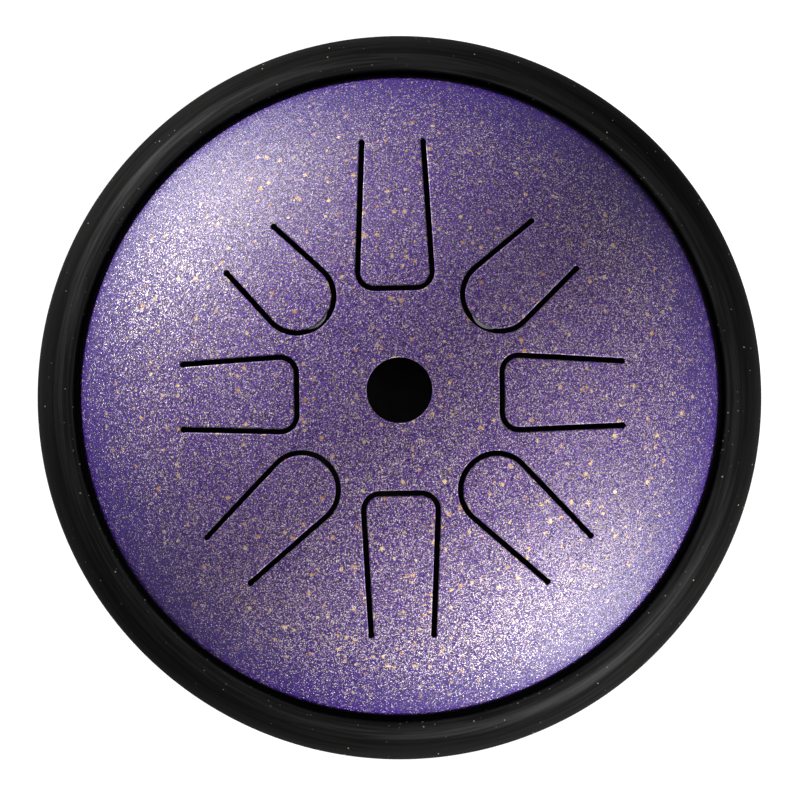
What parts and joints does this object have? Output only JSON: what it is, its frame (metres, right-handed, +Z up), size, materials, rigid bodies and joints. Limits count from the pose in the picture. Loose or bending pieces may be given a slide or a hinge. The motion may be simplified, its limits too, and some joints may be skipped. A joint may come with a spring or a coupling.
{
  "type": "steel tongue drum",
  "caption": "Domed steel drum with tuned tongues cut round a sound hole, a half-round rubber edge ring and rubber feet, played with fingers or mallets.",
  "frame": {"origin": "on the table under the drum's axis, at the undersides of the feet", "axes": "+Z up along the drum's axis; +Y towards the longest tongue, the lowest note"},
  "size_m": [0.17, 0.17, 0.0876],
  "materials": {
    "shell_paint": "satin violet lacquer with fine pale and gold flakes",
    "ring_rubber": "matt black",
    "foot_rubber": "matt black",
    "zinc_steel": "zinc plated",
    "adhesive": "cured structural adhesive"
  },
  "bodies": {
    "drum": {"upper_shell": "shell_paint", "lower_shell": "shell_paint", "rim_adhesive": "adhesive", "rubber_ring": "ring_rubber", "foot_1": "foot_rubber", "foot_2": "foot_rubber", "foot_3": "foot_rubber", "foot_4": "foot_rubber", "foot_inserts": "zinc_steel", "foot_screws": "zinc_steel", "foot_washers": "zinc_steel", "foot_nuts": "zinc_steel"},
    "tongue_1": {"tongue_1": "shell_paint"},
    "tongue_2": {"tongue_2": "shell_paint"},
    "tongue_3": {"tongue_3": "shell_paint"},
    "tongue_4": {"tongue_4": "shell_paint"},
    "tongue_5": {"tongue_5": "shell_paint"},
    "tongue_6": {"tongue_6": "shell_paint"},
    "tongue_7": {"tongue_7": "shell_paint"},
    "tongue_8": {"tongue_8": "shell_paint"}
  },
  "joints": [
    {"name": "tongue_1_flex", "type": "hinge", "parent": "drum", "child": "tongue_1", "pos_m": [-0.00158, 0.05727, 0.06839], "axis": [0.9998, 0.0192, 0], "range_deg": [-0.8, 0.8], "stiffness_Nm_per_rad": 130},
    {"name": "tongue_2_flex", "type": "hinge", "parent": "drum", "child": "tongue_2", "pos_m": [0.0007, -0.05487, 0.07009], "axis": [-0.9999, -0.014, 0], "range_deg": [-0.8, 0.8], "stiffness_Nm_per_rad": 130},
    {"name": "tongue_3_flex", "type": "hinge", "parent": "drum", "child": "tongue_3", "pos_m": [-0.03867, -0.03797, 0.0705], "axis": [-0.6871, 0.7266, 0], "range_deg": [-0.8, 0.8], "stiffness_Nm_per_rad": 140},
    {"name": "tongue_4_flex", "type": "hinge", "parent": "drum", "child": "tongue_4", "pos_m": [0.03839, -0.03753, 0.07082], "axis": [-0.6807, -0.7325, 0], "range_deg": [-0.8, 0.8], "stiffness_Nm_per_rad": 140},
    {"name": "tongue_5_flex", "type": "hinge", "parent": "drum", "child": "tongue_5", "pos_m": [0.05041, -0.00014, 0.07291], "axis": [0.0087, -1, 0], "range_deg": [-0.8, 0.8], "stiffness_Nm_per_rad": 160},
    {"name": "tongue_6_flex", "type": "hinge", "parent": "drum", "child": "tongue_6", "pos_m": [-0.04885, -0.00114, 0.07382], "axis": [-0.0122, 0.9999, 0], "range_deg": [-0.8, 0.8], "stiffness_Nm_per_rad": 170},
    {"name": "tongue_7_flex", "type": "hinge", "parent": "drum", "child": "tongue_7", "pos_m": [0.03496, 0.03339, 0.07412], "axis": [0.6845, -0.729, 0], "range_deg": [-0.8, 0.8], "stiffness_Nm_per_rad": 170},
    {"name": "tongue_8_flex", "type": "hinge", "parent": "drum", "child": "tongue_8", "pos_m": [-0.03365, 0.03205, 0.07511], "axis": [0.712, 0.7022, 0], "range_deg": [-0.8, 0.8], "stiffness_Nm_per_rad": 180}
  ]
}
